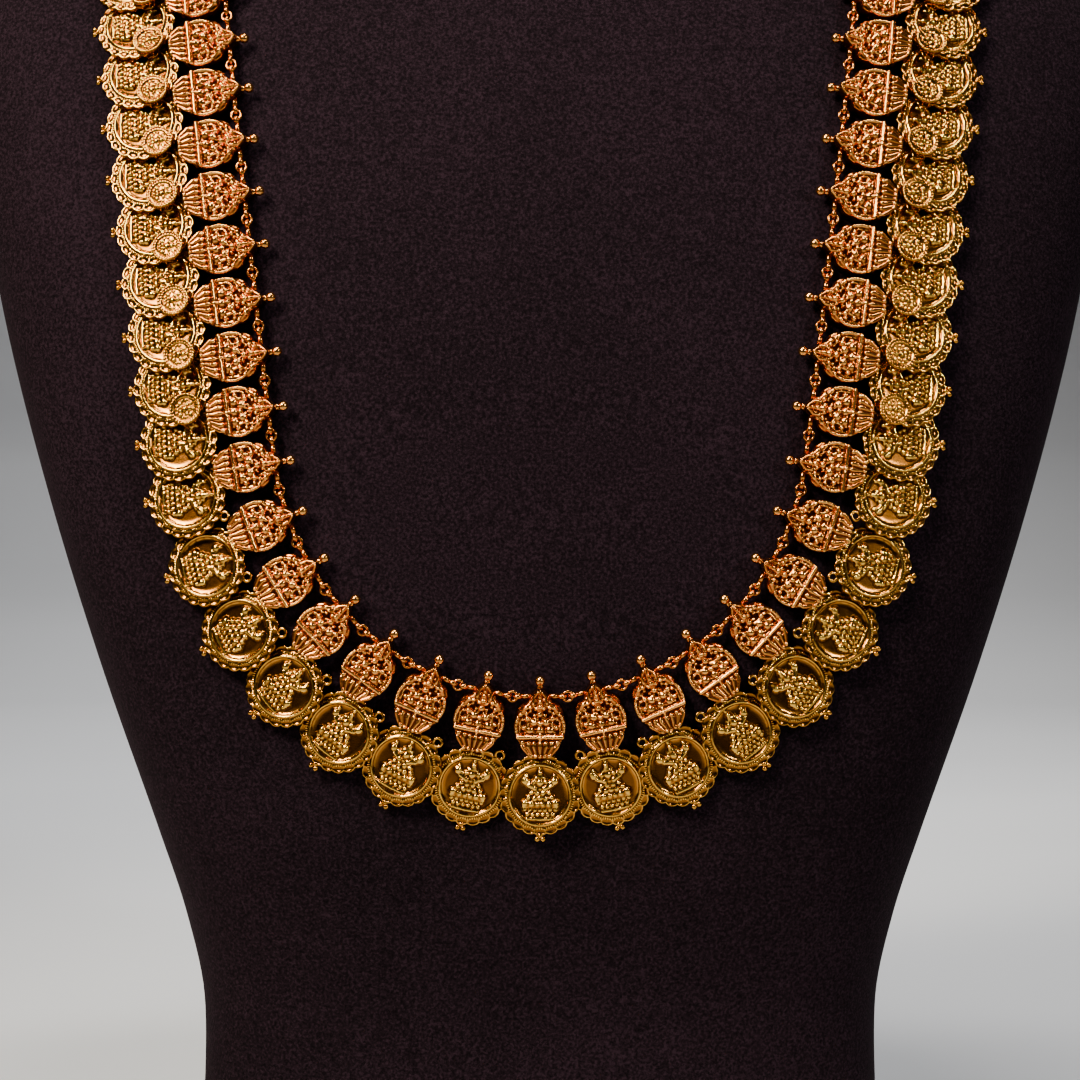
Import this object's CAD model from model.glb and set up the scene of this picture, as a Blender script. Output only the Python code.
"""Looks of a coin-type temple necklace on a suede-covered neck bust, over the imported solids."""

import bpy
import numpy as np
from bpy.props import FloatProperty, FloatVectorProperty, IntProperty, PointerProperty
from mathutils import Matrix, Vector


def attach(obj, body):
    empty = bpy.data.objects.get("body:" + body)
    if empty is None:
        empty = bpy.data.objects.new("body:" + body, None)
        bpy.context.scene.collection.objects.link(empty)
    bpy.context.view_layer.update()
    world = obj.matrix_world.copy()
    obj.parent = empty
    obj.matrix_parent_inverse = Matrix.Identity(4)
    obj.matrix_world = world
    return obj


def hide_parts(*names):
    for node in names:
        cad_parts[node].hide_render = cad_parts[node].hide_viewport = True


bl_info = {
    "name": "Temple necklace on a bust",
    "version": (1, 0, 0),
    "blender": (4, 5, 0),
    "location": "View3D > Sidebar > Necklace",
    "description": "Builds the relief, metal and suede of a coin-type temple necklace",
    "category": "Object",
}

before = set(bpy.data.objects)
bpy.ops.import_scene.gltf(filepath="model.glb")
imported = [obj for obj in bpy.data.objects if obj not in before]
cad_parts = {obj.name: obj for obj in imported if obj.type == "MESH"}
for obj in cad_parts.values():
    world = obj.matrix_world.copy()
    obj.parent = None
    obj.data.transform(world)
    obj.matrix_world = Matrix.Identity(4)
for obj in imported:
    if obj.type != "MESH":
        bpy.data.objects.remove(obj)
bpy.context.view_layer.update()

# Sizes of the solids, in millimetres, as in their source
BUST_H, SHOULDER_W, CHEST, BACK, SEAT_GAP = 400.0, 274.0, 53.0, 53.0, 0.5
SIDE_UNITS, PITCH, BOTTOM_R, BOTTOM_Z, SIDE_LEAN = 18, 12.1, 58.4, 114.5, 7.0
FRAME_R, LINK_DEPTH, BALL_D, WIRE = 5.9, 3.5, 2.3, 0.5
COIN_R, COIN_T, SCALLOPS, SHINGLE, DROOP, SMALL_R, BARE = 9.1, 1.0, 20, 8.5, 28.0, 3.65, 8
CHAIN_LEN, CHAIN_W, CHAIN_WIRE = 8.0, 4.2, 0.7
RING_Y, FRAME_Y, BAR_Y, BEAD_Y, FAN_Y, UNDER_Y = -3.4, -10.1, -12.2, -13.75, -15.2, -13.6
RING_LEVEL, LIP_LEVEL, HANG_R, EYELET_R, RING_R = 2.0, LINK_DEPTH - 0.1, 0.9, 0.85, 1.08
HANG_Y = UNDER_Y - HANG_R - 0.1
EYELET_X = PITCH / 2 - EYELET_R - 0.36
EAR_R, EAR_WIRE, EAR_AT = 0.85, 0.4, COIN_R + 0.75
FIELD_R, RAISED_R = COIN_R * 0.7, COIN_R * 0.742
SIDE_EYELET_R, SMALL_T, RELIEF_TOP, END_RING_R = 0.95, 0.8, 1.6, RING_R + 0.37
SMALL_LEVEL, SMALL_REACH, SMALL_LOOP_LEVEL = RELIEF_TOP + 0.15 + SMALL_T / 2, SMALL_R - 0.55, COIN_T * 0.65 + 0.27
NOTCH = np.radians(63)
Y_SHIFT = (CHEST + 3 - BACK) / 2
LOBE_R = np.pi * COIN_R / SCALLOPS

# Sizes of the looks alone, in millimetres but for the tones, which are shares from a hollow (0) to a height (1)
SEEN_WIRE, BARE_WIRE, ARM_D, TINY_BALL_D = WIRE * 1.2, 0.75, 1.3, 1.35
FIELD_LEVEL, RIM_LEVEL, SCALLOP_SHARE, FACE_TURN = COIN_T * 0.7, COIN_T + 0.1, 0.65, 1.1
PLAIN_TONE, WALL_TONE, FIELD_TONE, BALL_LIFT, TONE_MIDDLE, TONE_GAIN = 0.62, 0.42, 0.3, 0.15, 0.52, 2.2
COIN_ROWS, SMALL_CELLS, SMALL_BEADS, TICKS = 12, 28, 28, 90.0
CLASP_LEN, CLASP_EYE_R, CLASP_WIRE = 14.0, 1.5, 0.8
# Grain of the noises, in features to a metre
WEAR_GRAIN, SMEAR_GRAIN, PIT_GRAIN, PATCH_GRAIN, FIBRE_GRAIN, FLOOR_GRAIN = 260.0, 900.0, 3200.0, 14.0, 1500.0, 3.0
# Camera, in metres and degrees
CAMERA_AT, CAMERA_ANGLE = (0, -0.551, 0.1488), 26.7

# Sections of the bust: height share, half width share, front depth share, back depth share, squareness
SECTIONS = np.array([
    [0, 0.58, 0.74, 0.78, 2.7], [0.01, 0.589, 0.755, 0.79, 2.7], [0.1, 0.588, 0.76, 0.79, 2.8],
    [0.15, 0.616, 0.81, 0.81, 3], [0.2, 0.66, 0.88, 0.85, 3.3], [0.3, 0.757, 0.98, 0.92, 3.6],
    [0.4, 0.847, 1, 0.97, 3.6], [0.5, 0.922, 0.965, 1, 3.6], [0.6, 0.977, 0.86, 0.99, 3.5],
    [0.66, 1, 0.76, 0.96, 3.2], [0.7, 0.985, 0.67, 0.93, 2.9], [0.735, 0.91, 0.6, 0.9, 2.6],
    [0.765, 0.79, 0.58, 0.88, 2.4], [0.795, 0.63, 0.59, 0.87, 2.2], [0.83, 0.5, 0.64, 0.88, 2.1],
    [0.88, 0.43, 0.7, 0.87, 2], [0.95, 0.41, 0.74, 0.86, 2], [0.99, 0.42, 0.76, 0.87, 2],
    [1, 0.405, 0.74, 0.85, 2],
])
NAPE_ROUTE = [[62, 0.782], [90, 0.804], [120, 0.815], [150, 0.822], [180, 0.825]]


# Places on the bust and along the necklace


def share(u, column):
    """Cubic Hermite curve through one column of the sections, its slopes taken across both neighbours."""
    h, v = SECTIONS[:, 0], SECTIONS[:, column]
    low, high = np.maximum(np.arange(len(h)) - 1, 0), np.minimum(np.arange(len(h)) + 1, len(h) - 1)
    slope = (v[high] - v[low]) / (h[high] - h[low])
    i = np.clip(np.searchsorted(h, u, side="right") - 1, 0, len(h) - 2)
    step = h[i + 1] - h[i]
    t = (u - h[i]) / step
    return (v[i] * (2 * t**3 - 3 * t**2 + 1) + v[i + 1] * (3 * t**2 - 2 * t**3)
            + slope[i] * step * (t**3 - 2 * t**2 + t) + slope[i + 1] * step * (t**3 - t**2))


def half_width(z):
    """Half width of the bust at height z."""
    return SHOULDER_W / 2 * share(np.asarray(z) / BUST_H, 1)


def depth(z, a):
    """Depth of the bust in front of, or behind, its side line."""
    u = np.asarray(z) / BUST_H
    return np.where(np.cos(a) >= 0, CHEST * share(u, 2), BACK * share(u, 3))


def squareness(z):
    """Power of the bust's section at height z: 2 is an ellipse, more is squarer."""
    return share(np.asarray(z) / BUST_H, 4)


def power(v, e):
    """Size of v to the power e, with the sign of v."""
    return np.sign(v) * np.abs(v) ** e


def skin(a, z):
    """Point of the bust at height z, a radians round from the front towards +X: a superellipse in each section."""
    e = 2 / squareness(z)
    return np.stack([half_width(z) * power(np.sin(a), e), Y_SHIFT - depth(z, a) * power(np.cos(a), e), z + 0 * a], -1)


def unit(v):
    """The vector at length one."""
    return v / np.linalg.norm(v)


def log_square(v):
    """The square of v times the logarithm of its size."""
    return v * v * np.log(max(abs(v), 1e-6))


def normal(a, z):
    """Outward normal of the bust: the gradient of its superellipse, its sizes' slopes taken over one millimetre."""
    w, d, n = half_width(z), depth(z, a), squareness(z)
    dw = half_width(z + 0.5) - half_width(z - 0.5)
    dd = depth(z + 0.5, a) - depth(z - 0.5, a)
    dn = squareness(z + 0.5) - squareness(z - 0.5)
    bend = 2 * dn / n**2 * (log_square(np.sin(a)) + log_square(np.cos(a)))
    e = 2 - 2 / n
    return unit(np.array([power(np.sin(a), e) / w, -power(np.cos(a), e) / d,
                          bend - np.sin(a) ** 2 * dw / w - np.cos(a) ** 2 * dd / d]))


def turn_of(x, z):
    """Angle round the bust of the place that lies x to the side at height z."""
    return np.arcsin(np.clip(power(x / half_width(z), squareness(z) / 2), -1, 1))


LEAN_TURN = np.radians(90 - SIDE_LEAN)
ARC_RUN = BOTTOM_R * LEAN_TURN


def heading(s):
    """Turn of the row of rings at run s: an arc, then a straight side run."""
    return min(s / BOTTOM_R, LEAN_TURN)


def place(s, v):
    """Angle round the bust and height of the point v outboard of the row at run s."""
    h, rest = heading(s), max(s - ARC_RUN, 0)
    x = BOTTOM_R * np.sin(h) + rest * np.cos(h) + v * np.sin(h)
    z = BOTTOM_Z + BOTTOM_R * (1 - np.cos(h)) + rest * np.sin(h) - v * np.cos(h)
    return turn_of(x, z), z


def lifted(p, up):
    """Point at height up over the suede."""
    return skin(p[0], p[1]) + normal(p[0], p[1]) * up


def ring_point(s):
    """Centre of the jump ring at run s."""
    return lifted(place(s, 0), SEAT_GAP + RING_LEVEL)


def ring_runs():
    """Runs of the jump rings, each a pitch from the one before."""
    t = PITCH / 2
    for _ in range(6):
        t += PITCH / 2 - ring_point(t)[0]
    runs = [t]
    for _ in range(SIDE_UNITS):
        s = runs[-1]
        t = s + PITCH
        for _ in range(6):
            t += PITCH - np.linalg.norm(ring_point(t) - ring_point(s))
        runs.append(t)
    return runs


RUNS = ring_runs()


def mid_run(k):
    """Run of the middle of unit k."""
    return 0.0 if k == 0 else (RUNS[k - 1] + RUNS[k]) / 2


def frame_of(y, n, o):
    """Axes and origin of a piece from its y axis and a normal: rows x, y, z, origin."""
    z = unit(n - y * (n @ y))
    return np.array([np.cross(y, z), y, z, o])


def put(f, p):
    """A point of a piece's frame in the whole model's frame."""
    return f[3] + f[0] * p[0] + f[1] * p[1] + f[2] * p[2]


def link_frame(k):
    """Frame of deity link k: its origin is the centre of the ball, x runs to the next link."""
    b = ring_point(RUNS[k])
    a = b * [-1, 1, 1] if k == 0 else ring_point(RUNS[k - 1])
    x = unit(b - a)
    n = normal(*place(mid_run(k), RING_Y - FRAME_Y))
    z = unit(n - x * (n @ x))
    y = np.cross(z, x)
    return np.array([x, y, z, (a + b) / 2 - y * RING_Y - z * RING_LEVEL])


def loop_level(k):
    """Height of the loop behind the fan."""
    return 1.9 if k == 0 else 1.3


def coin_swing(k):
    """Turn of coin k about its ear, towards the ground."""
    return 0.0 if k == 0 else np.radians(DROOP) * np.sin(heading(mid_run(k)))


def coin_frame(k):
    """Frame of coin k: y points to its ear, and the origin is the centre of its back."""
    lift, tilt = (3.18, 0) if k == 0 else (1.26, 0) if k == 1 else (2.01, np.radians(SHINGLE))
    f, swing = link_frame(k), coin_swing(k)
    ear = put(f, [0, HANG_Y - HANG_R, loop_level(k) - 0.1])
    out = -f[1] * np.cos(swing) - f[0] * np.sin(swing)
    guess = ear + out * EAR_AT
    p = turn_of(guess[0], guess[2]), guess[2]
    n = normal(*p)
    to = unit(out * EAR_AT + n * (lift - (guess - skin(*p)) @ n))
    flat = frame_of(-to, n, ear + to * EAR_AT)
    z = flat[2] * np.cos(tilt) + flat[0] * np.sin(tilt)
    return np.array([np.cross(-to, z), -to, z, ear + to * EAR_AT - z * COIN_T / 2])


def face_frame(k):
    """Frame of the struck face of coin k, turned back so that its outer end points outward."""
    f, a = coin_frame(k), coin_swing(k) * FACE_TURN
    return np.array([f[0] * np.cos(a) + f[1] * np.sin(a), f[1] * np.cos(a) - f[0] * np.sin(a), f[2], f[3]])


def side_eyelet_place(k):
    """Middle of coin k's side eyelet, which stands in a notch of the rim where the coin carries a small coin."""
    a, r, level = (NOTCH, COIN_R + 0.36, 0.65) if k > BARE else (np.radians(31), COIN_R + 0.65, 0.5)
    return np.array([-r * np.sin(a), r * np.cos(a), COIN_T * level])


def small_frame(k):
    """Frame of the small coin on coin k: its loop holds the outer side of the eyelet, and it lies over its loop."""
    f, e, r = face_frame(k), side_eyelet_place(k), SIDE_EYELET_R
    loop_x, loop_y = e[0] - r * np.cos(NOTCH), e[1] - r * np.sin(NOTCH)
    return np.array([f[0], f[1], f[2], put(f, [loop_x + SMALL_REACH, loop_y, SMALL_LEVEL])])


# Shapes: points, triangles and a relief value a point (0 in a hollow, 1 on a height)


def cells(rows, cols, wrap=False):
    """Two triangles a cell of a grid whose columns close round; wrap closes the rows too."""
    i, j = np.meshgrid(np.arange(rows if wrap else rows - 1), np.arange(cols), indexing="ij")
    a, b = i * cols + j, i * cols + (j + 1) % cols
    c, d = (i + 1) % rows * cols + j, (i + 1) % rows * cols + (j + 1) % cols
    return np.concatenate([np.stack([a, b, d], -1).reshape(-1, 3), np.stack([a, d, c], -1).reshape(-1, 3)])


def outward(points, tris):
    """Turns the triangles round if the volume that they close is negative."""
    a, b, c = (points[tris[:, i]] for i in range(3))
    return tris if np.einsum("ij,ij->", a, np.cross(b, c)) > 0 else tris[:, ::-1]


def shape(points, tris, relief=None):
    """A closed surface with its faces outward."""
    points = points.reshape(-1, 3)
    relief = np.full(len(points), PLAIN_TONE) if relief is None else relief.reshape(-1)
    return {"points": points, "tris": outward(points, tris), "relief": relief}


def tube(rings, relief=None):
    """Rows of closed rings, with each end closed by a fan to the middle of its ring."""
    rows, cols = rings.shape[:2]
    first, last = rings[0].mean(0), rings[-1].mean(0)
    j = np.arange(cols)
    n = rows * cols
    ends = np.concatenate([
        np.stack([j * 0 + n, (j + 1) % cols, j], -1),
        np.stack([j * 0 + n + 1, n - cols + j, n - cols + (j + 1) % cols], -1),
    ])
    if relief is not None:
        relief = np.append(relief.reshape(-1), [relief[0].mean(), relief[-1].mean()])
    return shape(np.vstack([rings.reshape(-1, 3), first, last]), np.vstack([cells(rows, cols), ends]), relief)


def joined(*shapes):
    """Several shapes as one."""
    starts = np.cumsum([0] + [len(s["points"]) for s in shapes[:-1]])
    return {
        "points": np.vstack([s["points"] for s in shapes]),
        "tris": np.vstack([s["tris"] + n for s, n in zip(shapes, starts)]),
        "relief": np.concatenate([s["relief"] for s in shapes]),
    }


def moved(s, axes, origin):
    """A shape with its x, y and z axes laid along the rows of axes."""
    points = s["points"] @ np.array(axes, float) + origin
    return dict(s, points=points, tris=outward(points - points.mean(0), s["tris"]))


def torus(r, wire, around=20, across=8):
    """Ring about the z axis: a circle of the wire's radius carried round a circle of radius r."""
    a, b = np.meshgrid(np.linspace(0, 2 * np.pi, around, endpoint=False),
                       np.linspace(0, 2 * np.pi, across, endpoint=False), indexing="ij")
    d = r + wire / 2 * np.cos(b)
    return shape(np.stack([d * np.cos(a), d * np.sin(a), wire / 2 * np.sin(b)], -1), cells(around, across, True))


def lathe(profile, around=14):
    """Profile of (radius, distance along y) carried round the y axis."""
    profile = np.array(profile, float)
    a = np.linspace(0, 2 * np.pi, around, endpoint=False)
    r, y = profile[:, :1], profile[:, 1:] + 0 * a
    return tube(np.stack([r * np.cos(a), y, r * np.sin(a)], -1))


def ball(p, d, rows=6, around=8):
    """Sphere of diameter d at p, as a profile of a half circle carried round."""
    t = np.linspace(0.12, np.pi - 0.12, rows)
    s = lathe(np.stack([d / 2 * np.sin(t), d / 2 * np.cos(t)], -1), around)
    return dict(s, points=s["points"] + p)


def rod(a, b, d, around=8):
    """Straight round bar from a to b."""
    a, b = np.array(a, float), np.array(b, float)
    x = unit(b - a)
    side = unit(np.cross(x, [0.3, 0.5, 0.8]))
    up = np.cross(x, side)
    t = np.linspace(0, 2 * np.pi, around, endpoint=False)[:, None]
    ring = d / 2 * (np.cos(t) * side + np.sin(t) * up)
    return tube(np.stack([a + ring, b + ring]))


# Relief, worked out as heights over a plane


def lumps(x, y, table, base):
    """Half ellipsoids: for each (x, y, radius, height) the height is base + height * sqrt(1 - (d / radius)^2)."""
    best = np.full(x.shape, -9.0)
    for cx, cy, r, h in table:
        d2 = ((x - cx) ** 2 + (y - cy) ** 2) / r**2
        best = np.maximum(best, np.where(d2 < 1, base + h * np.sqrt(np.maximum(1 - d2, 0)), -9))
    return best


def ridges(x, y, table, base):
    """Round-topped ridges from (x0, y0) to (x1, y1) whose radius goes from r0 to r1, of height h."""
    best = np.full(x.shape, -9.0)
    for x0, y0, x1, y1, r0, r1, h in table:
        dx, dy = x1 - x0, y1 - y0
        t = np.clip(((x - x0) * dx + (y - y0) * dy) / (dx * dx + dy * dy), 0, 1)
        r = r0 + (r1 - r0) * t
        d2 = ((x - x0 - t * dx) ** 2 + (y - y0 - t * dy) ** 2) / r**2
        best = np.maximum(best, np.where(d2 < 1, base + h * np.sqrt(np.maximum(1 - d2, 0)), -9))
    return best


def hoop(r, middle, wide, high, base):
    """Round-topped ring ridge at radius middle."""
    d2 = ((r - middle) / wide) ** 2
    return np.where(d2 < 1, base + high * np.sqrt(np.maximum(1 - d2, 0)), -9)


def hollowness(z, passes):
    """Relief value: the middle tone, plus how far a point stands over the mean of its neighbourhood."""
    low = z.copy()
    for _ in range(passes):
        p = np.pad(low, 1, mode="edge")
        low = (p[:-2, 1:-1] + p[2:, 1:-1] + p[1:-1, :-2] + p[1:-1, 2:] + 2 * low) / 6
    return np.clip(TONE_MIDDLE + (z - low) * TONE_GAIN, 0, 1)


# Figure of the deity link, in its frame (x is given for one side, both sides are alike)
LINK_LUMPS = [
    (0, -7.1, 1.0, 1.95), (1.15, -7.4, 0.5, 1.5), (1.35, -9.0, 1.15, 1.8), (0, -9.3, 0.9, 1.6),
    (0, -10.75, 1.25, 1.65), (2.2, -10.75, 1.3, 1.7), (3.55, -10.2, 0.75, 1.5), (2.75, -8.1, 0.85, 1.7),
    (3.75, -8.3, 0.6, 1.4), (3.0, -6.9, 0.7, 1.5), (3.9, -7.2, 0.5, 1.3), (2.1, -6.4, 0.6, 1.4),
]
LINK_RIDGES = [
    (0.6, -8.2, 2.4, -8.4, 0.5, 0.5, 1.6), (0.2, -11.3, 3.2, -11.2, 0.5, 0.6, 1.5),
    (2.6, -9.0, 2.9, -10.0, 0.5, 0.5, 1.6),
]
CROWN_RIDGES = [
    (0.0, -1.9, 0.0, -6.0, 0.45, 0.9, 0.75), (0.6, -2.1, 1.5, -3.2, 0.42, 0.6, 0.8),
    (1.5, -3.2, 1.5, -4.6, 0.6, 0.42, 0.8), (2.2, -4.4, 3.1, -5.6, 0.4, 0.6, 0.6),
    (3.1, -5.6, 4.2, -7.2, 0.6, 0.5, 0.6),
]
CROWN_LUMPS = [
    (0, -3.1, 0.45, 0.95), (0, -4.2, 0.65, 1.0), (0, -5.4, 0.8, 1.05), (0.85, -5.9, 0.5, 0.8), (2.2, -4.4, 0.5, 0.7),
    (3.1, -5.6, 0.7, 0.8), (2.1, -5.6, 0.55, 0.7), (4.3, -7.2, 0.5, 0.7), (1.05, -3.9, 0.4, 0.5),
]
BAR_RIDGES = [(0.7, BAR_Y, 4.9, BAR_Y, 0.5, 0.58, 1.0)]
KNOT_LUMPS = [(0, BAR_Y - 0.1, 0.62, 1.0), (0, BAR_Y + 0.65, 0.42, 0.9), (0, BAR_Y - 0.75, 0.36, 0.7)]


def link_height(x, y, w):
    """Height of the link's front at (x, y): the highest of dome, crown, figure, roped rim, bar, beads and fan."""
    ax, r = np.abs(x), np.hypot(x, y - FRAME_Y)
    edge = np.clip((w - ax) / 0.5, 0, 1)
    rounded = np.sqrt(1 - (1 - edge) ** 2)
    body = LINK_DEPTH - 0.8 + 0.5 * rounded
    body = body + 0.9 * np.clip((y + 7) / 1.5, 0, 1) * (1 - (ax / w) ** 2)
    body = np.where(y < UNDER_Y - 0.1, LIP_LEVEL - 0.1 + 0.3 * rounded, body)
    sunk = (r < 4.85) & (y > BAR_Y + 0.35)
    z = np.where(sunk, LINK_DEPTH - 1.1, body)
    floor_z, crown_z, fan_top = LINK_DEPTH - 1.2, LINK_DEPTH - 0.1, LIP_LEVEL + 0.2
    roped = 0.34 + 0.1 * np.cos(46 * np.arctan2(y - FRAME_Y, x))
    rim = np.where(y > BAR_Y - 1.3, hoop(r, 5.3, 0.4, roped, LINK_DEPTH - 0.3), -9)
    inner = np.where((y > BAR_Y) & (y < -6.6), hoop(r, 4.5, 0.28, 0.6, LINK_DEPTH - 0.9), -9)
    bulge = np.where(y > -7, body - LINK_DEPTH, 0)
    return np.maximum.reduce([
        z, rim, inner,
        lumps(ax, y, LINK_LUMPS, floor_z), ridges(ax, y, LINK_RIDGES, floor_z - 0.2),
        ridges(ax, y, CROWN_RIDGES, crown_z) + bulge, lumps(ax, y, CROWN_LUMPS, crown_z) + bulge,
        ridges(ax, y, BAR_RIDGES, crown_z), lumps(ax, y, KNOT_LUMPS, crown_z),
        lumps(ax, y, [(i * 1.27, BEAD_Y + 0.05 + 0.03 * i * i, 0.58, 0.6) for i in range(4)], LINK_DEPTH - 0.05),
        ridges(ax, y, [(i * 1.3, BEAD_Y - 0.5, i * 0.8, FAN_Y - 1.0, 0.55, 0.36, 0.5) for i in range(4)], fan_top),
        lumps(ax, y, [(i * 1.0, FAN_Y - 1.3 + 0.06 * i, 0.5, 0.7) for i in range(3)], fan_top),
    ])


def link_half_width(y):
    """Half width of the link's front: the widest of the dome, the scrolled shoulders, the round frame and the fan."""
    t = np.clip((y + 1.5) / (-6.6 + 1.5), 0, 1)
    dome = np.where(y > -8.0, 3.8 * (0.75 * np.sqrt(t) + 0.25 * t), 0)
    shoulder = np.interp(-y, [4.4, 4.8, 5.3, 6.2, 7.2, 7.3], [0, 3.6, 4.3, 4.9, 5.2, 0])
    circle = np.sqrt(np.maximum((FRAME_R - 0.2) ** 2 - (y - FRAME_Y) ** 2, 0))
    circle = np.where(y > UNDER_Y - 0.35, circle, 0)
    fan = np.interp(-y, [13.2, 13.9, 15.0, 16.0, 16.6, 16.95], [4.5, 4.4, 3.9, 3.0, 2.2, 1.5])
    fan = np.where(y < -13.2, fan, 0)
    return np.maximum.reduce([dome, shoulder, circle, fan, np.full(y.shape, 0.45)])


def deity_link(level, rows, cols):
    """The whole cast link: sections across y, each a ring over the front, down the walls and along the back."""
    y = np.linspace(-1.45, -16.95, rows)[:, None]
    w = link_half_width(y)
    u = np.linspace(-1, 1, cols)[None, :]
    x = u * w
    z = link_height(x, y + 0 * x, w)
    circle = np.sqrt(np.maximum(FRAME_R**2 - (y - FRAME_Y) ** 2, 0))
    back_w = np.where(y > UNDER_Y, np.maximum(w + 0.05, circle), w)
    back_z = np.where(y > UNDER_Y, 0.0, LIP_LEVEL)
    front = np.stack([x, y + 0 * x, z], -1)
    right = [(w + 0.35 * (back_w - w) - 0.12, 0.5 * (z[:, -1:] + back_z)),
             (back_w, back_z + 0.12), (back_w - 0.15, back_z)]
    wall = [np.stack([a, y + 0 * a, b + 0 * a], -1) for a, b in right]
    other = [p * [-1, 1, 1] for p in wall[::-1]]
    rings = np.concatenate([front] + wall + other, axis=1)
    relief = np.full(rings.shape[:2], WALL_TONE)
    relief[:, :cols] = hollowness(z, 8)
    neck = lathe([(0.2, 1.13), (0.5, 1.03), (0.83, 0.8), (1.06, 0.44), (BALL_D / 2, 0), (1.06, -0.44),
                  (0.8, -0.82), (0.6, -1.0), (0.7, -1.2), (0.75, -1.4), (0.65, -1.6), (0.95, -2.4)], 18)
    neck["points"] = neck["points"] + [0, 0, RING_LEVEL]
    neck["relief"] = neck["relief"] + BALL_LIFT
    band = torus(EYELET_R, SEEN_WIRE, 16, 6)
    band["points"] = band["points"] * [1, 1, 1.8]
    eyelet = moved(band, [[1, 0, 0], [0, 0, 1], [0, -1, 0]], [EYELET_X, RING_Y, RING_LEVEL])
    arm = rod([2.0, RING_Y, RING_LEVEL], [EYELET_X - EYELET_R - 0.02, RING_Y, RING_LEVEL], ARM_D)
    loop = moved(torus(HANG_R, WIRE, 14, 6), [[0, 0, -1], [0, 1, 0], [1, 0, 0]], [0, HANG_Y, level])
    sides = [moved(s, np.diag([m, 1, 1]), [0, 0, 0]) for s in (eyelet, arm) for m in (1, -1)]
    return joined(tube(rings, relief), neck, loop, *sides)


# Figure of the coin, in the coin's frame, one side given
COIN_LUMPS = [
    (0, 5.9, 0.42, 0.7), (0, 4.9, 0.7, 1.0), (0, 4.0, 0.95, 1.0), (0.95, 3.85, 0.42, 0.8), (0, 2.9, 1.05, 1.25),
    (1.3, 2.95, 0.6, 0.9), (1.6, 2.2, 0.6, 0.8), (2.2, 2.75, 0.5, 0.7), (0, 1.5, 0.75, 0.95), (1.0, 1.5, 0.8, 1.0),
    (0.65, 0.5, 0.75, 1.1), (1.95, 0.55, 0.62, 0.9), (3.2, 3.1, 0.95, 0.85), (3.1, 4.25, 0.42, 0.6),
    (2.55, -0.5, 0.62, 0.85), (0, -0.6, 0.85, 0.95), (1.15, -0.75, 0.75, 0.85), (3.3, -1.8, 0.95, 0.9),
    (1.95, -1.95, 0.9, 0.95), (0.55, -2.0, 0.8, 0.85),
]
COIN_RIDGES = [
    (1.5, 1.6, 2.7, 2.2, 0.5, 0.5, 0.85), (0.2, -2.6, 3.6, -2.5, 0.45, 0.5, 0.6),
    (0.0, -5.4, 2.9, -5.2, 0.4, 0.4, 0.55),
]


def from_scallop(turn):
    """Angle from the middle of the nearest scallop."""
    return (turn + np.pi / SCALLOPS) % (2 * np.pi / SCALLOPS) - np.pi / SCALLOPS


def coin_outline(turn):
    """Radius of the edge: part a circle's, part that of scallops set round it, by the law of cosines."""
    near, centre = from_scallop(turn), COIN_R - LOBE_R
    scallop = centre * np.cos(near) + np.sqrt(LOBE_R**2 - (centre * np.sin(near)) ** 2)
    return (1 - SCALLOP_SHARE) * COIN_R + SCALLOP_SHARE * scallop


def coin_height(x, y):
    """Height of the coin's face: field curving up at its edge, figure, raised ring and a rim scooped in petals."""
    ax, r = np.abs(x), np.hypot(x, y)
    z = np.where(r < FIELD_R, FIELD_LEVEL + 0.28 * np.clip((r - FIELD_R + 1.5) / 1.5, 0, 1) ** 2, COIN_T)
    seats = [(i * 1.12, -3.3 + 0.02 * i * i, 0.56, 0.75) for i in range(4)]
    seats += [(i * 1.12 + 0.56, -4.3 + 0.03 * i * i, 0.56, 0.7) for i in range(3)]
    across = ((r - 8.2) / 0.68) ** 2 + (r * from_scallop(np.arctan2(y, x)) / 1.16) ** 2
    z = np.where(r > RAISED_R + 0.5, RIM_LEVEL, z)
    z = np.where(across < 1, RIM_LEVEL - 0.33 * np.sqrt(np.maximum(1 - across, 0)), z)
    return np.maximum.reduce([
        z, hoop(r, (FIELD_R + RAISED_R) / 2 + 0.1, 0.36, 0.5, COIN_T - 0.05),
        lumps(ax, y, COIN_LUMPS + seats, FIELD_LEVEL + 0.1), ridges(ax, y, COIN_RIDGES, FIELD_LEVEL + 0.12),
    ])


def disc(n, radius):
    """Square grid of n cells a side pressed to a disc: rings of squares become rings of circles at equal angles."""
    a, b = np.meshgrid(np.linspace(-1, 1, n + 1), np.linspace(-1, 1, n + 1), indexing="ij")
    wide = np.abs(a) > np.abs(b)
    reach = np.where(wide, a, b)
    safe_a, safe_b = np.where(a == 0, 1, a), np.where(b == 0, 1, b)
    turn = np.where(wide, np.pi / 4 * b / safe_a, np.pi / 2 - np.pi / 4 * a / safe_b)
    turn = np.where((a == 0) & (b == 0), 0, turn)
    return radius * reach * np.cos(turn), radius * reach * np.sin(turn)


def edge_walk(n):
    """Indices of the square grid's border, walked round once."""
    m = n + 1
    i = np.arange(n)
    return np.concatenate([n * m + i, (n - i) * m + n, n - i, i * m])


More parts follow.
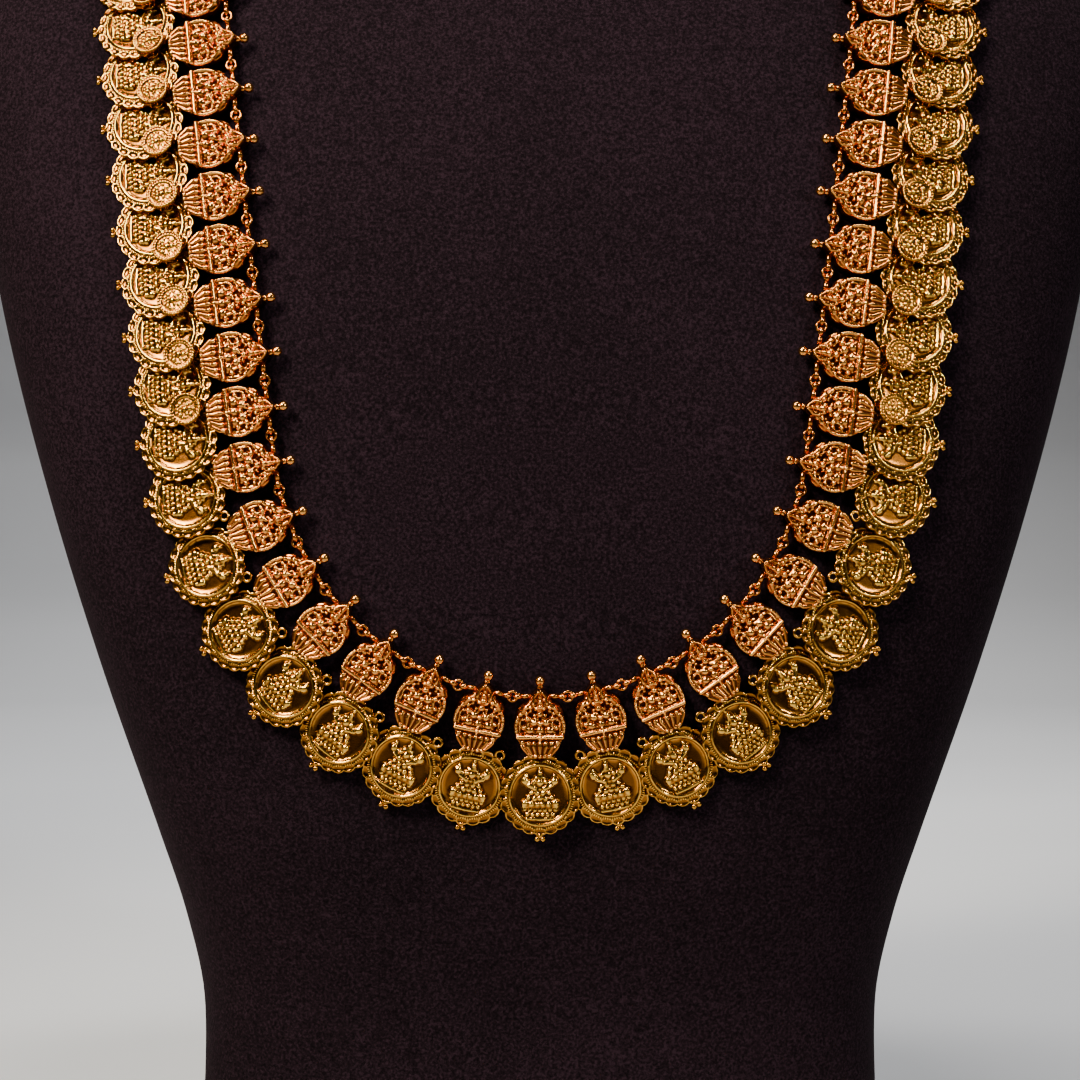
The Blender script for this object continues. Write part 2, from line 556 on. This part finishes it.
def struck_disc(n, inner_r, outline, height, rows, thick, back):
    """A struck disc: a pressed square grid, then rings out to the outline, down the edge and in at the back."""
    x, y = disc(n, inner_r)
    z = height(x, y)
    m = n + 1
    i, j = np.meshgrid(np.arange(n), np.arange(n), indexing="ij")
    a, b, c, d = i * m + j, (i + 1) * m + j, (i + 1) * m + j + 1, i * m + j + 1
    tris = [np.stack([a, b, c], -1).reshape(-1, 3), np.stack([a, c, d], -1).reshape(-1, 3)]
    walk = edge_walk(n)
    turn = np.arctan2(y.reshape(-1)[walk], x.reshape(-1)[walk])
    rim = outline(turn)
    steps = np.linspace(0, 1, rows + 1)[1:, None]
    r = inner_r + (rim - inner_r) * steps
    ox, oy = r * np.cos(turn), r * np.sin(turn)
    oz = height(ox, oy)
    oz[-1] = np.minimum(oz[-1], thick - 0.12)
    back_r = np.stack([rim, rim - 0.1, rim * 0.55])
    bz = np.array([[back + 0.12], [back], [back]]) + 0 * back_r
    ring_points = np.concatenate([
        np.stack([ox, oy, oz], -1),
        np.stack([back_r * np.cos(turn), back_r * np.sin(turn), bz], -1),
    ])
    count, k = len(walk), len(ring_points)
    start = m * m
    j = np.arange(count)
    after = start + (j + 1) % count
    first = [np.stack([walk, start + j, after], -1), np.stack([walk, after, np.roll(walk, -1)], -1)]
    rest = cells(k, count) + start
    last = start + (k - 1) * count
    fan = np.stack([last + (j + 1) % count, last + j, j * 0 + start + k * count], -1)
    points = np.vstack([np.stack([x, y, z], -1).reshape(-1, 3), ring_points.reshape(-1, 3), [[0, 0, back]]])
    tris = np.vstack(tris + first + [rest[:, ::-1], fan])
    relief = np.concatenate([
        hollowness(z, 8).reshape(-1), hollowness(oz, 3).reshape(-1), np.full(3 * count + 1, 0.45),
    ])
    return points, tris, relief


def coin(k, inner, rows):
    """A whole coin: the struck disc, its flat ear, its side eyelet and three tiny balls at the outer end."""
    points, tris, relief = struck_disc(inner, FIELD_R - 0.3, coin_outline, coin_height, rows, COIN_T, 0.0)
    r, z = np.hypot(points[:, 0], points[:, 1]), points[:, 2]
    mirror = (r < FIELD_R - 0.9) & (z > COIN_T / 2) & (z < FIELD_LEVEL + 0.06)
    relief = np.where(mirror, np.minimum(relief, FIELD_TONE), relief)
    face = {"points": points, "tris": tris, "relief": relief}
    balls = [ball([x, y - COIN_R, COIN_T / 2], TINY_BALL_D) for x, y in ((0, 0.1), (-0.62, -0.7), (0.62, -0.7))]
    parts = [face] + balls
    if k > 0:
        eyelet = torus(SIDE_EYELET_R, EAR_WIRE if k > BARE else BARE_WIRE, 16, 6)
        parts.append(moved(eyelet, np.eye(3), side_eyelet_place(k)))
    turn = coin_swing(k) * FACE_TURN
    axes = [[np.cos(turn), np.sin(turn), 0], [-np.sin(turn), np.cos(turn), 0], [0, 0, 1]]
    spun = moved(joined(*parts), axes, [0, 0, 0])
    ear = joined(torus(EAR_R, EAR_WIRE, 14, 6), rod([0, COIN_R - 0.9 - EAR_AT, 0], [0, -EAR_R, 0], 0.5, 6))
    ear["points"] = ear["points"] + [0, EAR_AT, COIN_T / 2]
    whole = joined(spun, ear)
    whole["local"] = np.vstack([joined(*parts)["points"], ear["points"] * 0 + [0, 20, 0]])
    return whole


# Figure of the small coin, one side given
SMALL_LUMPS = [
    (0, 1.05, 0.55, 0.5), (0, 1.9, 0.3, 0.4), (0, -0.1, 0.65, 0.45), (1.15, 1.25, 0.36, 0.4), (1.0, 0.35, 0.34, 0.42),
    (1.25, -1.15, 0.48, 0.42), (0.4, -1.05, 0.42, 0.4), (0, -1.75, 0.36, 0.35), (0.8, -1.85, 0.32, 0.33),
    (1.95, 0.2, 0.28, 0.3), (1.95, -0.6, 0.28, 0.3), (1.6, 1.9, 0.28, 0.28), (0.55, 2.25, 0.26, 0.26),
]


def small_height(x, y):
    """Height of the small coin's face: a tiny seated figure in a plain field within a ring of beads."""
    r, top, field = np.hypot(x, y), SMALL_T / 2, SMALL_T / 4
    bead = hoop(r, SMALL_R - 0.36, 0.34, 0.26 + 0.1 * np.cos(SMALL_BEADS * np.arctan2(y, x)), top)
    return np.maximum.reduce([
        np.where(r < SMALL_R - 0.8, field, top), bead, hoop(r, SMALL_R - 0.86, 0.16, 0.12, top),
        lumps(np.abs(x), y, SMALL_LUMPS, field),
    ])


def small_coin(n):
    """A small beaded coin with the round loop behind it."""
    outline = lambda turn: SMALL_R + 0.04 * np.cos(SMALL_BEADS * turn) - 0.04
    points, tris, relief = struck_disc(n, SMALL_R - 1, outline, small_height, 6, SMALL_T / 2 + 0.2, -SMALL_T / 2)
    side = [-np.cos(NOTCH), -np.sin(NOTCH), 0]
    loop = moved(torus(EAR_R, EAR_WIRE, 14, 6), [side, [0, 0, 1], np.cross(side, [0, 0, 1])],
                 [-SMALL_REACH, 0, SMALL_LOOP_LEVEL - SMALL_LEVEL])
    whole = joined({"points": points, "tris": tris, "relief": relief}, loop)
    whole["local"] = whole["points"] * 0 + [0, 20, 0]
    return whole


def racetrack(length, width, wire, around=36, across=8):
    """Chain link: a wire's circle carried along two half circles and two straights in the xy plane."""
    r, half = (width - wire) / 2, (length - width) / 2
    quarter = np.linspace(-np.pi / 2, np.pi / 2, around // 2)
    path = np.concatenate([
        np.stack([half + r * np.cos(quarter), r * np.sin(quarter)], -1),
        np.stack([-half - r * np.cos(quarter), -r * np.sin(quarter)], -1),
    ])
    out = np.concatenate([np.stack([np.cos(quarter), np.sin(quarter)], -1)] * 2)
    out[around // 2:] *= -1
    b = np.linspace(0, 2 * np.pi, across, endpoint=False)[None, :, None]
    flat = path[:, None, :] + wire / 2 * np.cos(b) * out[:, None, :]
    high = wire / 2 * np.sin(b) + 0 * flat[..., :1]
    return shape(np.concatenate([flat, high], -1), cells(around // 2 * 2, across, True))


# The back chain's smooth route


def chain_places():
    """Frames of the chain's links at even runs along a curve through the route's points, and the clasp's frame."""
    start = place(RUNS[SIDE_UNITS], 0)
    route = np.array([[np.degrees(start[0]), start[1] / BUST_H]] + NAPE_ROUTE)
    n = len(route) - 1

    def at(t):
        i = min(int(t), n - 1)
        f = t - i
        a, b = route[i], route[i + 1]
        before = 2 * a - b if i == 0 else route[i - 1]
        after = np.array([2 * b[0] - a[0], a[1]]) if i == n - 1 else route[i + 2]
        p = (a * 2 + (b - before) * f + (2 * before - 5 * a + 4 * b - after) * f**2
             + (3 * a - before - 3 * b + after) * f**3)
        return np.radians(p[0] / 2), p[1] / 2 * BUST_H

    level = SEAT_GAP + CHAIN_W / 2 + 0.35
    t = n * np.arange(301) / 300
    points = np.array([lifted(at(s), level) for s in t])
    run = np.append(0, np.cumsum(np.linalg.norm(np.diff(points, axis=0), axis=1)))
    first = CHAIN_LEN / 2 - CHAIN_WIRE / 2 + END_RING_R - WIRE / 2 - CHAIN_WIRE / 2 - 0.28
    eye_at = CLASP_LEN / 2 + CLASP_EYE_R + 0.1
    last = eye_at + CHAIN_LEN / 2 - CHAIN_WIRE / 2 + 0.3
    room = run[-1] - first - last
    count = int(np.floor(room / (CHAIN_LEN - 2 * CHAIN_WIRE - 0.35) + 0.5)) + 1
    frames = []
    for i in range(count):
        s = np.interp(first + i * room / (count - 1), run, t)
        x = unit(lifted(at(s + 0.02), level) - lifted(at(s - 0.02), level))
        nrm = normal(*at(s))
        z = unit(nrm - x * (nrm @ x))
        frames.append(np.array([x, np.cross(z, x), z, lifted(at(s), level)]))
    clasp = np.array([[-1, 0, 0], [0, 0, 1], normal(*at(n)), lifted(at(n), level)])
    return frames, clasp, count, eye_at


# Meshes and materials


def gathered(pairs, mirror=False):
    """Copies of shapes at frames, as one set of arrays; mirror turns the set to the other side."""
    parts, local = [], []
    for s, f in pairs:
        points = s["points"] @ f[:3] + f[3]
        tris = s["tris"]
        if mirror:
            points, tris = points * [-1, 1, 1], tris[:, ::-1]
        parts.append(dict(s, points=points, tris=tris))
        local.append(s.get("local", s["points"]))
    whole = joined(*parts)
    whole["local"] = np.vstack(local)
    return whole


def put_in_scene(name, whole, material, slot, *nodes):
    """Makes the object from whole arrays, smooth shaded, and hands it to the frame."""
    points, tris = whole["points"] * 0.001, whole["tris"]
    if len(tris) == 0 or not np.isfinite(points).all():
        raise RuntimeError(f"{name} came out empty or broken")
    mesh = bpy.data.meshes.new(name)
    mesh.vertices.add(len(points))
    mesh.vertices.foreach_set("co", points.astype(np.float32).ravel())
    mesh.loops.add(len(tris) * 3)
    mesh.loops.foreach_set("vertex_index", tris.astype(np.int32).ravel())
    mesh.polygons.add(len(tris))
    mesh.polygons.foreach_set("loop_start", np.arange(0, len(tris) * 3, 3, dtype=np.int32))
    mesh.polygons.foreach_set("use_smooth", np.ones(len(tris), bool))
    relief = mesh.attributes.new("relief", "FLOAT", "POINT")
    relief.data.foreach_set("value", whole["relief"].astype(np.float32))
    local = mesh.attributes.new("local", "FLOAT_VECTOR", "POINT")
    local.data.foreach_set("vector", whole.get("local", whole["points"]).astype(np.float32).ravel())
    mesh.update(calc_edges=True)
    mesh.validate()
    mesh.materials.append(material)
    piece = bpy.data.objects.new(name, mesh)
    bpy.context.scene.collection.objects.link(piece)
    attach(piece, "root")
    if nodes:
        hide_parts(*nodes)
    return piece


def new_material(name):
    """An empty node material and its shader."""
    material = bpy.data.materials.new(name)
    material.use_nodes = True
    return material, material.node_tree.nodes, material.node_tree.links, material.node_tree.nodes["Principled BSDF"]


def ramp(nodes, links, source, stops):
    """Colour ramp fed by source."""
    node = nodes.new("ShaderNodeValToRGB")
    while len(node.color_ramp.elements) < len(stops):
        node.color_ramp.elements.new(0.5)
    for element, (at, colour) in zip(node.color_ramp.elements, stops):
        element.position = at
        element.color = (*colour, 1)
    links.new(source, node.inputs["Fac"])
    return node.outputs["Color"]


def noise(nodes, links, vector, scale, detail=2.0, rough=0.5):
    """Noise on the given coordinates."""
    node = nodes.new("ShaderNodeTexNoise")
    node.inputs["Scale"].default_value = scale
    node.inputs["Detail"].default_value = detail
    node.inputs["Roughness"].default_value = rough
    links.new(vector, node.inputs["Vector"])
    return node.outputs["Fac"]


def maths(nodes, links, kind, *values, clamp=False):
    """One step of arithmetic on sockets or numbers."""
    node = nodes.new("ShaderNodeMath")
    node.operation = kind
    node.use_clamp = clamp
    for socket, value in zip(node.inputs, values):
        if isinstance(value, (int, float)):
            socket.default_value = value
        else:
            links.new(value, socket)
    return node.outputs[0]


def gold_material(name, low, middle, high, roughness, settings, ticks=False):
    """Cast gold: dark in the hollows, bright on the heights, with wear, fine pits and, on coins, radial ticks."""
    material, nodes, links, shader = new_material(name)
    where = nodes.new("ShaderNodeTexCoord").outputs["Object"]
    relief = nodes.new("ShaderNodeAttribute")
    relief.attribute_name = "relief"
    height = relief.outputs["Fac"]
    tone = noise(nodes, links, where, WEAR_GRAIN, 3.0)
    worn = maths(nodes, links, "MULTIPLY_ADD", tone, 0.22, -0.11)
    level = maths(nodes, links, "ADD", height, worn, clamp=True)
    shader.inputs["Metallic"].default_value = 1.0
    smear = noise(nodes, links, where, SMEAR_GRAIN)
    rough = maths(nodes, links, "MULTIPLY_ADD", smear, settings.smear, roughness)
    dull = maths(nodes, links, "MULTIPLY", maths(nodes, links, "SUBTRACT", 0.5, level, clamp=True), 0.3)
    links.new(maths(nodes, links, "ADD", rough, dull), shader.inputs["Roughness"])
    bump = nodes.new("ShaderNodeBump")
    bump.inputs["Strength"].default_value = 0.35
    bump.inputs["Distance"].default_value = 0.00008
    pits = noise(nodes, links, where, PIT_GRAIN)
    if ticks:
        local = nodes.new("ShaderNodeAttribute")
        local.attribute_name = "local"
        parts = nodes.new("ShaderNodeSeparateXYZ")
        links.new(local.outputs["Vector"], parts.inputs[0])
        x, y = parts.outputs[0], parts.outputs[1]
        turn = maths(nodes, links, "ARCTAN2", y, x)
        squares = [maths(nodes, links, "MULTIPLY", v, v) for v in (x, y)]
        reach = maths(nodes, links, "SQRT", maths(nodes, links, "ADD", *squares))
        wave = maths(nodes, links, "SINE", maths(nodes, links, "MULTIPLY", turn, TICKS))
        inner = maths(nodes, links, "GREATER_THAN", reach, RAISED_R + 0.4)
        outer = maths(nodes, links, "LESS_THAN", reach, RAISED_R + 0.95)
        cut = maths(nodes, links, "MULTIPLY", maths(nodes, links, "MULTIPLY", inner, outer), wave)
        pits = maths(nodes, links, "MULTIPLY_ADD", cut, 1.6, maths(nodes, links, "MULTIPLY", pits, 0.6))
        level = maths(nodes, links, "MULTIPLY_ADD", cut, 0.3, level, clamp=True)
    links.new(ramp(nodes, links, level, [(0.2, low), (0.55, middle), (0.85, high)]), shader.inputs["Base Color"])
    links.new(pits, bump.inputs["Height"])
    links.new(bump.outputs["Normal"], shader.inputs["Normal"])
    return material


def suede_material(settings):
    """Suede: a dark nap whose tone drifts in soft patches, with short fibres and a pale sheen at the edges."""
    material, nodes, links, shader = new_material("suede")
    where = nodes.new("ShaderNodeTexCoord").outputs["Object"]
    base = tuple(settings.suede)
    light = tuple(min(1.0, c * 2.6) for c in base)
    dark = tuple(c * 0.35 for c in base)
    patches = noise(nodes, links, where, PATCH_GRAIN, 3.0, 0.6)
    fibres = noise(nodes, links, where, FIBRE_GRAIN / settings.nap, 4.0, 0.7)
    both = maths(nodes, links, "MULTIPLY_ADD", fibres, 0.85, maths(nodes, links, "MULTIPLY", patches, 0.15))
    links.new(ramp(nodes, links, both, [(0.38, dark), (0.5, base), (0.62, light)]), shader.inputs["Base Color"])
    shader.inputs["Roughness"].default_value = 0.95
    shader.inputs["Specular IOR Level"].default_value = 0.05
    shader.inputs["Sheen Weight"].default_value = settings.sheen
    shader.inputs["Sheen Roughness"].default_value = 0.45
    shader.inputs["Sheen Tint"].default_value = (0.5, 0.32, 0.34, 1)
    bump = nodes.new("ShaderNodeBump")
    bump.inputs["Strength"].default_value = 0.6
    bump.inputs["Distance"].default_value = 0.0003
    links.new(fibres, bump.inputs["Height"])
    links.new(bump.outputs["Normal"], shader.inputs["Normal"])
    return material


# Settings


class BustSettings(bpy.types.PropertyGroup):
    """Sizes and colour of the suede bust."""

    suede: FloatVectorProperty(name="Suede", description="Colour of the suede", subtype="COLOR", size=3,
                               min=0, max=1, default=(0.0078, 0.0038, 0.0056))
    nap: FloatProperty(name="Nap", description="Length of the suede's nap against a short one", default=1.0,
                       min=0.5, max=3)
    sheen: FloatProperty(name="Sheen", description="Strength of the pale sheen", default=0.02, min=0, max=1)
    rows: IntProperty(name="Rows", description="Rows of the bust's surface", default=132, min=40, max=240)
    sides: IntProperty(name="Sides", description="Points round the bust's surface", default=112, min=40, max=240)


class JewelSettings(bpy.types.PropertyGroup):
    """Colours, polish and fineness of the necklace."""

    link_gold: FloatVectorProperty(name="Link gold", description="Colour of the cast links", subtype="COLOR", size=3,
                                   min=0, max=1, default=(0.84, 0.29, 0.055))
    coin_gold: FloatVectorProperty(name="Coin gold", description="Colour of the coins", subtype="COLOR", size=3,
                                   min=0, max=1, default=(0.88, 0.39, 0.065))
    link_rough: FloatProperty(name="Link roughness", description="Roughness of the links", default=0.13, min=0, max=1)
    coin_rough: FloatProperty(name="Coin roughness", description="Roughness of the coins", default=0.12, min=0, max=1)
    smear: FloatProperty(name="Smear", description="Uneven polish added to the roughness", default=0.12, min=0, max=0.5)
    link_rows: IntProperty(name="Link rows", description="Sections along one link", default=80, min=40, max=100)
    link_cols: IntProperty(name="Link columns", description="Points across a link's front", default=53, min=30, max=70)
    coin_cells: IntProperty(name="Coin cells", description="Cells across a coin's field", default=44, min=20, max=60)


def bust_settings():
    """The bust's settings."""
    return bpy.context.scene.necklace_bust


def jewel_settings():
    """The necklace's settings."""
    return bpy.context.scene.necklace_jewel


def metal(name, colour, shares, roughness, ticks=False):
    """A gold, made once: its colour in the hollows, in the middle and on the heights is a share of the given one."""
    found = bpy.data.materials.get(name)
    tones = np.minimum(np.array(colour) * shares, 1)
    return found or gold_material(name, *tones, roughness, jewel_settings(), ticks)


def link_metal():
    """The links' antique gold."""
    s = jewel_settings()
    shares = [[0.22, 0.12, 0.08], [0.72, 0.6, 0.5], [1.18, 1.5, 1.7]]
    return metal("antique_gold_relief", s.link_gold, shares, s.link_rough)


def coin_metal():
    """The coins' yellow gold."""
    s = jewel_settings()
    shares = [[0.1, 0.07, 0.04], [0.5, 0.4, 0.3], [1.13, 1.4, 1.3]]
    return metal("coin_gold_relief", s.coin_gold, shares, s.coin_rough, ticks=True)


# Operators


class NECKLACE_OT_stage(bpy.types.Operator):
    """Sets the pale floor, the soft lights and the camera."""

    bl_idname = "necklace.stage"
    bl_label = "Stage"

    def execute(self, context):
        scene = context.scene
        run = np.array([[-0.8, 0], [1.0, 0], [1.25, 0.02], [1.42, 0.09], [1.55, 0.24], [1.6, 0.45], [1.6, 2.2]])
        rows, columns = 40, 12
        t = np.linspace(0, len(run) - 1, rows)
        y, z = (np.interp(t, np.arange(len(run)), v) for v in run.T)
        x = np.linspace(-2.6, 2.6, columns)
        grid = np.stack(np.broadcast_arrays(x[None, :], y[:, None], z[:, None]), -1).reshape(-1, 3)
        i, j = np.meshgrid(np.arange(rows - 1), np.arange(columns - 1), indexing="ij")
        a = (i * columns + j).reshape(-1)
        faces = np.stack([a, a + 1, a + columns + 1, a + columns], -1)
        mesh = bpy.data.meshes.new("studio_floor")
        mesh.from_pydata(grid.tolist(), [], faces.tolist())
        mesh.polygons.foreach_set("use_smooth", np.ones(len(faces), bool))
        floor = bpy.data.objects.new("studio_floor", mesh)
        scene.collection.objects.link(floor)
        material, nodes, links, shader = new_material("pale_floor")
        where = nodes.new("ShaderNodeTexCoord").outputs["Object"]
        drift = noise(nodes, links, where, FLOOR_GRAIN)
        tone = ramp(nodes, links, drift, [(0.3, (0.62, 0.62, 0.63)), (0.7, (0.66, 0.66, 0.67))])
        links.new(tone, shader.inputs["Base Color"])
        shader.inputs["Roughness"].default_value = 0.9
        mesh.materials.append(material)
        world = bpy.data.worlds.new("soft_studio")
        world.use_nodes = True
        world.node_tree.nodes["Background"].inputs["Color"].default_value = (0.75, 0.8, 0.9, 1)
        world.node_tree.nodes["Background"].inputs["Strength"].default_value = 0.02
        scene.world = world
        for name, at, aim, size, power, spread, colour in (
            ("key", (-0.5, -0.85, 0.8), (0, 0, 0.22), (0.12, 0.12), 0.55, 50, (1, 0.93, 0.84)),
            ("fill", (0.75, -0.75, 0.6), (0, 0, 0.22), (0.1, 0.16), 0.5, 55, (0.9, 0.95, 1)),
            ("sheet", (-0.56, -0.64, 0.86), (-0.085, -0.045, 0.24), (0.18, 0.6), 1.5, 45, (1, 0.93, 0.78)),
            ("top", (0.05, -0.3, 1.2), (0, 0, 0.2), (0.4, 0.15), 0.9, 60, (1, 0.97, 0.93)),
            ("back", (0.1, 0.9, 1.3), (0, 0.8, 0), (1.2, 0.8), 8, 90, (1, 1, 1)),
        ):
            light = bpy.data.lights.new(name, "AREA")
            light.shape, light.size, light.size_y = "RECTANGLE", size[0], size[1]
            light.energy, light.color, light.spread = power, colour, np.radians(spread)
            lamp = bpy.data.objects.new(name, light)
            lamp.location = at
            lamp.rotation_euler = (Vector(aim) - Vector(at)).to_track_quat("-Z", "Y").to_euler()
            scene.collection.objects.link(lamp)
        camera = bpy.data.cameras.new("camera")
        camera.sensor_fit = "HORIZONTAL"
        camera.angle = np.radians(CAMERA_ANGLE)
        eye = bpy.data.objects.new("camera", camera)
        eye.location = CAMERA_AT
        eye.rotation_euler = (np.pi / 2, 0, 0)
        scene.collection.objects.link(eye)
        scene.camera = eye
        return {"FINISHED"}


class NECKLACE_OT_bust(bpy.types.Operator):
    """Covers the bust in suede."""

    bl_idname = "necklace.bust"
    bl_label = "Suede bust"

    def execute(self, context):
        s = bust_settings()
        edge = np.array([0, 0.6, 1.6, 3])
        z = np.concatenate([edge, np.linspace(4.5, BUST_H - 4.5, s.rows), BUST_H - edge[::-1]])
        shrink = 1 - 0.012 * np.exp(-np.minimum(z, BUST_H - z) / 1.2)
        a = np.linspace(0, 2 * np.pi, s.sides, endpoint=False)
        rings = skin(a[None, :], z[:, None])
        rings[..., 0] *= shrink[:, None]
        rings[..., 1] = Y_SHIFT + (rings[..., 1] - Y_SHIFT) * shrink[:, None]
        put_in_scene("suede_bust", tube(rings), suede_material(s), "suede", "neck_bust")
        return {"FINISHED"}


class NECKLACE_OT_links(bpy.types.Operator):
    """Casts the deity links with their relief."""

    bl_idname = "necklace.links"
    bl_label = "Deity links"

    def execute(self, context):
        s = jewel_settings()
        centre = deity_link(loop_level(0), s.link_rows, s.link_cols)
        side = deity_link(loop_level(1), s.link_rows, s.link_cols)
        pairs = [(side, link_frame(k)) for k in range(1, SIDE_UNITS + 1)]
        middle = gathered([(centre, link_frame(0))])
        put_in_scene("centre_deity_cast", middle, link_metal(), "antique_gold", "centre_deity_link")
        put_in_scene("right_deity_casts", gathered(pairs), link_metal(), "antique_gold", "deity_links_right")
        put_in_scene("left_deity_casts", gathered(pairs, True), link_metal(), "antique_gold", "deity_links_left")
        return {"FINISHED"}


class NECKLACE_OT_coins(bpy.types.Operator):
    """Strikes the coins of the outer row."""

    bl_idname = "necklace.coins"
    bl_label = "Coins"

    def execute(self, context):
        n = jewel_settings().coin_cells
        pairs = [(coin(k, n, COIN_ROWS), coin_frame(k)) for k in range(1, SIDE_UNITS + 1)]
        middle = gathered([(coin(0, n, COIN_ROWS), coin_frame(0))])
        put_in_scene("centre_struck_coin", middle, coin_metal(), "coin_gold", "centre_coin")
        put_in_scene("right_struck_coins", gathered(pairs), coin_metal(), "coin_gold", "coins_right")
        put_in_scene("left_struck_coins", gathered(pairs, True), coin_metal(), "coin_gold", "coins_left")
        return {"FINISHED"}


class NECKLACE_OT_small_coins(bpy.types.Operator):
    """Strikes the small beaded coins."""

    bl_idname = "necklace.small_coins"
    bl_label = "Small coins"

    def execute(self, context):
        one = small_coin(SMALL_CELLS)
        pairs = [(one, small_frame(k)) for k in range(BARE + 1, SIDE_UNITS + 1)]
        put_in_scene("right_beaded_coins", gathered(pairs), coin_metal(), "coin_gold", "small_coins_right")
        put_in_scene("left_beaded_coins", gathered(pairs, True), coin_metal(), "coin_gold", "small_coins_left")
        return {"FINISHED"}


class NECKLACE_OT_rings(bpy.types.Operator):
    """Bends the jump rings of the inner row."""

    bl_idname = "necklace.rings"
    bl_label = "Jump rings"

    def execute(self, context):
        pairs = []
        for k, s in enumerate(RUNS):
            f = link_frame(min(k, SIDE_UNITS))
            ring = torus(END_RING_R if k == SIDE_UNITS else RING_R, SEEN_WIRE, 28, 10)
            pairs.append((ring, frame_of(f[1], normal(*place(s, 0)), ring_point(s))))
        whole = joined(gathered(pairs), gathered(pairs, True))
        put_in_scene("round_jump_rings", whole, link_metal(), "antique_gold", "link_rings")
        return {"FINISHED"}


class NECKLACE_OT_chain(bpy.types.Operator):
    """Links the back chain and closes it with the clasp."""

    bl_idname = "necklace.chain"
    bl_label = "Back chain and clasp"

    def execute(self, context):
        frames, clasp, count, eye_at = chain_places()
        flat = racetrack(CHAIN_LEN, CHAIN_W, CHAIN_WIRE)
        edge = moved(flat, [[1, 0, 0], [0, 0, 1], [0, -1, 0]], [0, 0, 0])
        pairs = [(edge if i % 2 == 0 else flat, f) for i, f in enumerate(frames)]
        whole = joined(gathered(pairs), gathered(pairs, True))
        put_in_scene("oval_back_chain", whole, link_metal(), "antique_gold", "back_chain")
        t = np.linspace(-7.6, 7.6, 33)
        bulge = 1.0 + 0.2 * np.exp(-((np.abs(t) - 6.7) / 0.7) ** 2) + 0.12 * np.exp(-(t / 0.8) ** 2)
        bulge = bulge * np.sqrt(np.clip(1 - ((np.abs(t) - 6.6) / 1.05).clip(0) ** 2, 0.02, 1))
        bar = moved(lathe(np.stack([bulge, t], -1), 20), [[0, 1, 0], [1, 0, 0], [0, 0, 1]], [0, 0, 0])
        eye = torus(CLASP_EYE_R, CLASP_WIRE, 24, 8)
        if count % 2 == 0:
            eye = moved(eye, [[1, 0, 0], [0, 0, 1], [0, -1, 0]], [0, 0, 0])
        eyes = [dict(eye, points=eye["points"] + [m * eye_at, 0, 0]) for m in (1, -1)]
        whole = gathered([(joined(bar, *eyes), clasp)])
        put_in_scene("bar_hook_clasp", whole, link_metal(), "antique_gold", "hook_clasp")
        return {"FINISHED"}


class NECKLACE_PT_panel(bpy.types.Panel):
    """Lists the steps and the settings."""

    bl_idname = "NECKLACE_PT_panel"
    bl_label = "Temple necklace"
    bl_space_type = "VIEW_3D"
    bl_region_type = "UI"
    bl_category = "Necklace"

    def draw(self, context):
        for operator in OPERATORS:
            self.layout.operator(operator.bl_idname)
        for group in (bust_settings(), jewel_settings()):
            box = self.layout.box()
            for name in group.__annotations__:
                box.prop(group, name)


OPERATORS = (NECKLACE_OT_stage, NECKLACE_OT_bust, NECKLACE_OT_links, NECKLACE_OT_coins, NECKLACE_OT_small_coins,
             NECKLACE_OT_rings, NECKLACE_OT_chain)
CLASSES = (BustSettings, JewelSettings) + OPERATORS + (NECKLACE_PT_panel,)


def register():
    """Registers the classes and hangs the settings on the scene."""
    for cls in CLASSES:
        bpy.utils.register_class(cls)
    bpy.types.Scene.necklace_bust = PointerProperty(type=BustSettings)
    bpy.types.Scene.necklace_jewel = PointerProperty(type=JewelSettings)


def unregister():
    """Takes the settings and the classes away."""
    del bpy.types.Scene.necklace_jewel
    del bpy.types.Scene.necklace_bust
    for cls in reversed(CLASSES):
        bpy.utils.unregister_class(cls)


def main():
    """Builds the whole scene."""
    register()
    bpy.ops.necklace.stage()
    bpy.ops.necklace.bust()
    bpy.ops.necklace.links()
    bpy.ops.necklace.coins()
    bpy.ops.necklace.small_coins()
    bpy.ops.necklace.rings()
    bpy.ops.necklace.chain()


if __name__ == "__main__":
    main()
